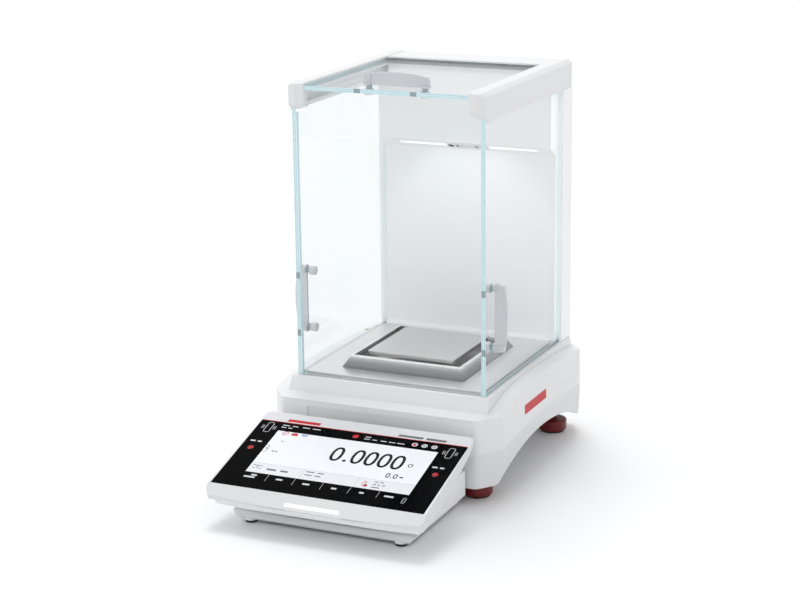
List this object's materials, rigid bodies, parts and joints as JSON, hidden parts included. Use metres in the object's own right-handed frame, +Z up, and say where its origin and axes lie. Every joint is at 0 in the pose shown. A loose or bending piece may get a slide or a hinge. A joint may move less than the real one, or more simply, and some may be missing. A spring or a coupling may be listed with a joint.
{
  "type": "analytical balance",
  "caption": "Analytical balance with a glass draft shield, sliding side and top doors, square weighing pan in a wind ring, levelling feet and a tilting touch terminal.",
  "frame": {"origin": "centre of the footprint box (base and terminal) on the surface the balance stands on", "axes": "+Z up, -Y towards the user and the terminal, +X to the user's right"},
  "size_m": [0.23, 0.393, 0.3777],
  "materials": {
    "housing_white": "satin moulded plastic",
    "housing_grey": "satin moulded plastic",
    "column_grey": "satin powder coat",
    "rail_white": "satin powder coat on extruded aluminium",
    "cap_silver": "satin lacquer on a casting",
    "shield_glass": "clear float glass, polished edges",
    "handle_grey": "satin moulded plastic",
    "stainless": "brushed",
    "stainless_polished": "polished",
    "machined_aluminium": "machined",
    "hub_alloy": "bead blasted",
    "magnet_steel": "ground",
    "weight_steel": "polished",
    "motor_case": "matt",
    "circuit_board": "solder mask",
    "socket_black": "matt",
    "vial_green": "clear tinted",
    "lens_clear": "frosted, lit",
    "screw_steel": "zinc plated",
    "brass": "turned",
    "foot_red": "satin moulded plastic",
    "rubber_black": "matt",
    "terminal_white": "satin moulded plastic",
    "terminal_grey": "satin moulded plastic",
    "touch_black": "polished glass, printed black behind",
    "screen": "lit panel"
  },
  "bodies": {
    "base": {"lower_housing": "housing_grey", "upper_housing": "housing_white", "plinth_frame": "housing_white", "base_screws": "screw_steel", "foot_inserts": "brass", "weigh_cell": "machined_aluminium", "force_coil": "magnet_steel", "load_receiver": "machined_aluminium", "cal_motor": "motor_case", "main_board": "circuit_board", "rear_ports": "socket_black", "power_inlet": "socket_black", "level_vial": "vial_green", "column_front_panel": "column_grey", "column_rear_cover": "housing_white", "column_side_cover_left": "housing_white", "column_side_cover_right": "housing_white", "column_top_cover": "housing_white", "column_screws": "screw_steel", "rail_left": "rail_white", "rail_right": "rail_white", "rail_cap_left": "cap_silver", "rail_cap_right": "cap_silver", "front_glass": "shield_glass", "light_lens": "lens_clear", "light_board": "circuit_board", "ionizer_module": "housing_white"},
    "cal_weight": {"cal_weight": "weight_steel"},
    "cal_spindle": {"cal_spindle": "weight_steel"},
    "floor_plate": {"floor_plate": "stainless"},
    "wind_ring": {"wind_ring": "stainless_polished"},
    "pan": {"weighing_pan": "stainless", "pan_hub": "hub_alloy"},
    "left_door": {"left_door_glass": "shield_glass", "left_door_handle": "handle_grey", "left_door_knobs": "handle_grey"},
    "right_door": {"right_door_glass": "shield_glass", "right_door_handle": "handle_grey", "right_door_knobs": "handle_grey"},
    "top_door": {"top_door_glass": "shield_glass", "top_door_handle": "handle_grey", "top_door_knobs": "handle_grey"},
    "terminal_stand": {"terminal_stand": "terminal_grey", "terminal_feet": "rubber_black", "hinge_pins": "screw_steel"},
    "terminal_head": {"terminal_bezel": "terminal_white", "terminal_lower_shell": "terminal_grey", "touch_glass": "touch_black", "lcd_module": "screen", "light_bar": "lens_clear", "terminal_board": "circuit_board", "terminal_screws": "screw_steel"},
    "foot_pad_front_left": {"foot_pad_front_left": "rubber_black"},
    "foot_wheel_front_left": {"foot_wheel_front_left": "foot_red"},
    "foot_pad_front_right": {"foot_pad_front_right": "rubber_black"},
    "foot_wheel_front_right": {"foot_wheel_front_right": "foot_red"},
    "foot_pad_rear_left": {"foot_pad_rear_left": "rubber_black"},
    "foot_wheel_rear_left": {"foot_wheel_rear_left": "foot_red"},
    "foot_pad_rear_right": {"foot_pad_rear_right": "rubber_black"},
    "foot_wheel_rear_right": {"foot_wheel_rear_right": "foot_red"}
  },
  "joints": [
    {"name": "left_door_slide", "type": "slide", "parent": "base", "child": "left_door", "axis": [0, 1, 0], "range_m": [0, 0.16]},
    {"name": "right_door_slide", "type": "slide", "parent": "base", "child": "right_door", "axis": [0, 1, 0], "range_m": [0, 0.16]},
    {"name": "top_door_slide", "type": "slide", "parent": "base", "child": "top_door", "axis": [0, 1, 0], "range_m": [0, 0.148]},
    {"name": "floor_plate_lift", "type": "slide", "parent": "base", "child": "floor_plate", "axis": [0, 0, 1], "range_m": [0, 0.03]},
    {"name": "wind_ring_lift", "type": "slide", "parent": "floor_plate", "child": "wind_ring", "axis": [0, 0, 1], "range_m": [0, 0.04]},
    {"name": "pan_lift", "type": "slide", "parent": "wind_ring", "child": "pan", "axis": [0, 0, 1], "range_m": [0, 0.04]},
    {"name": "cal_weight_lift", "type": "slide", "parent": "base", "child": "cal_weight", "axis": [0, 0, 1], "range_m": [0, 0.006]},
    {"name": "cal_spindle_turn", "type": "hinge", "parent": "base", "child": "cal_spindle", "pos_m": [0.062, 0.0565, 0.06], "axis": [0, 0, 1], "range_deg": [0, 2161]},
    {"name": "terminal_undock", "type": "slide", "parent": "base", "child": "terminal_stand", "axis": [0, -1, 0], "range_m": [0, 0.06]},
    {"name": "terminal_tilt", "type": "hinge", "parent": "terminal_stand", "child": "terminal_head", "pos_m": [0, -0.1555, 0.0226], "axis": [1, 0, 0], "range_deg": [0, 20]},
    {"name": "foot_pad_front_left_travel", "type": "slide", "parent": "base", "child": "foot_pad_front_left", "axis": [0, 0, -1], "range_m": [0, 0.00625]},
    {"name": "foot_wheel_front_left_turn", "type": "hinge", "parent": "foot_pad_front_left", "child": "foot_wheel_front_left", "pos_m": [-0.0866, -0.0302, 0.008], "axis": [0, 0, 1], "range_deg": [0, 1800]},
    {"name": "foot_pad_front_right_travel", "type": "slide", "parent": "base", "child": "foot_pad_front_right", "axis": [0, 0, -1], "range_m": [0, 0.00625]},
    {"name": "foot_wheel_front_right_turn", "type": "hinge", "parent": "foot_pad_front_right", "child": "foot_wheel_front_right", "pos_m": [0.0866, -0.0302, 0.008], "axis": [0, 0, 1], "range_deg": [0, 1800]},
    {"name": "foot_pad_rear_left_travel", "type": "slide", "parent": "base", "child": "foot_pad_rear_left", "axis": [0, 0, -1], "range_m": [0, 0.00625]},
    {"name": "foot_wheel_rear_left_turn", "type": "hinge", "parent": "foot_pad_rear_left", "child": "foot_wheel_rear_left", "pos_m": [-0.0866, 0.1672, 0.008], "axis": [0, 0, 1], "range_deg": [0, 1800]},
    {"name": "foot_pad_rear_right_travel", "type": "slide", "parent": "base", "child": "foot_pad_rear_right", "axis": [0, 0, -1], "range_m": [0, 0.00625]},
    {"name": "foot_wheel_rear_right_turn", "type": "hinge", "parent": "foot_pad_rear_right", "child": "foot_wheel_rear_right", "pos_m": [0.0866, 0.1672, 0.008], "axis": [0, 0, 1], "range_deg": [0, 1800]}
  ],
  "couplings": [
    {"joint": "cal_spindle_turn", "follows": "cal_weight_lift", "rad_per_m": 6283.2},
    {"joint": "foot_pad_front_left_travel", "follows": "foot_wheel_front_left_turn", "m_per_rad": 0.00019894},
    {"joint": "foot_pad_front_right_travel", "follows": "foot_wheel_front_right_turn", "m_per_rad": 0.00019894},
    {"joint": "foot_pad_rear_left_travel", "follows": "foot_wheel_rear_left_turn", "m_per_rad": 0.00019894},
    {"joint": "foot_pad_rear_right_travel", "follows": "foot_wheel_rear_right_turn", "m_per_rad": 0.00019894}
  ]
}
